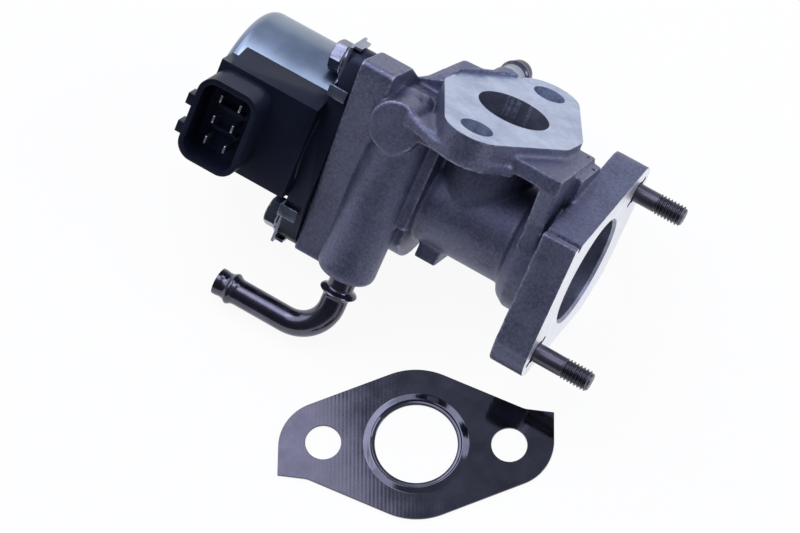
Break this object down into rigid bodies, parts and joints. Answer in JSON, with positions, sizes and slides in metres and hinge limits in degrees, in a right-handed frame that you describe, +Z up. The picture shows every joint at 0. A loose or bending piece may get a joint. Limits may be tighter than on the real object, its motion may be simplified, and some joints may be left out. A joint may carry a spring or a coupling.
{
  "type": "exhaust gas recirculation valve",
  "caption": "Stepper-driven exhaust gas recirculation valve: cast coolant-jacketed body, poppet, lead screw drive, connector, and its loose inlet gasket.",
  "frame": {"origin": "centre of the outlet flange face, midway between the two studs", "axes": "+X along the valve stem and out of the outlet, +Y along the line of the studs, +Z up from the bench the valve lies on"},
  "size_m": [0.1281, 0.1332, 0.0707],
  "materials": {
    "cast_alloy": "die cast, shot blasted",
    "black_steel": "black oxide",
    "hard_iron": "ground",
    "sintered_bronze": "sintered",
    "stainless_sheet": "pressed",
    "nickel_pipe": "dark nickel plate",
    "zinc_pipe": "zinc plate",
    "seal_rubber": "moulded",
    "black_nylon": "moulded",
    "tinned_blades": "tin plate",
    "can_steel": "drawn, passivated zinc",
    "bolt_steel": "bright zinc",
    "clip_steel": "bright zinc",
    "yoke_steel": "stamped",
    "bobbin_plastic": "moulded",
    "winding": "enamelled copper wire",
    "bearing_steel": "ground",
    "ball_steel": "lapped",
    "cage_plastic": "moulded",
    "spring_steel": "drawn",
    "guide_steel": "sintered",
    "gasket_steel": "coated sheet",
    "sleeve_plastic": "moulded",
    "ferrite": "sintered ferrite",
    "nut_brass": "turned",
    "screw_steel": "rolled",
    "stem_steel": "ground",
    "valve_steel": "machined",
    "retainer_steel": "pressed"
  },
  "bodies": {
    "valve": {"valve_housing": "cast_alloy", "outlet_studs": "black_steel", "valve_seat_ring": "hard_iron", "stem_bush": "sintered_bronze", "soot_shield": "stainless_sheet", "coolant_elbow_pipe": "nickel_pipe", "coolant_rear_pipe": "zinc_pipe", "motor_seal_ring": "seal_rubber", "motor_body": "black_nylon", "connector_pins": "tinned_blades", "motor_can": "can_steel", "motor_bolts": "bolt_steel", "bolt_clips": "clip_steel", "stator_yokes": "yoke_steel", "coil_bobbins": "bobbin_plastic", "stator_coils": "winding", "bearing_plate": "can_steel", "bearing_outer_ring": "bearing_steel", "preload_washer": "spring_steel", "rear_bush": "sintered_bronze", "screw_guide": "guide_steel", "spring_seat_washer": "stainless_sheet", "return_spring": "spring_steel", "inlet_gasket": "gasket_steel"},
    "rotor": {"rotor_sleeve": "sleeve_plastic", "rotor_magnet": "ferrite", "rotor_nut": "nut_brass", "bearing_inner_ring": "bearing_steel"},
    "ball_train": {"bearing_balls": "ball_steel", "bearing_cage": "cage_plastic"},
    "screw": {"lead_screw": "screw_steel"},
    "poppet_valve": {"valve_stem": "stem_steel", "poppet_head": "valve_steel", "spring_retainer": "retainer_steel", "retaining_ring": "spring_steel"}
  },
  "joints": [
    {"name": "rotor_spin", "type": "hinge", "parent": "valve", "child": "rotor", "pos_m": [-0.096, 0, 0], "axis": [1, 0, 0], "range_deg": [0, 450]},
    {"name": "ball_orbit", "type": "hinge", "parent": "valve", "child": "ball_train", "pos_m": [-0.0855, 0, 0], "axis": [1, 0, 0], "range_deg": [0, 186]},
    {"name": "screw_slide", "type": "slide", "parent": "valve", "child": "screw", "axis": [1, 0, 0], "range_m": [0, 0.00501]},
    {"name": "valve_lift", "type": "slide", "parent": "valve", "child": "poppet_valve", "axis": [1, 0, 0], "range_m": [0, 0.00501], "deforming": ["return_spring"]}
  ],
  "couplings": [
    {"joint": "ball_orbit", "follows": "rotor_spin", "ratio": 0.4118},
    {"joint": "screw_slide", "follows": "rotor_spin", "m_per_rad": 0.00063662},
    {"joint": "valve_lift", "follows": "rotor_spin", "m_per_rad": 0.00063662}
  ]
}
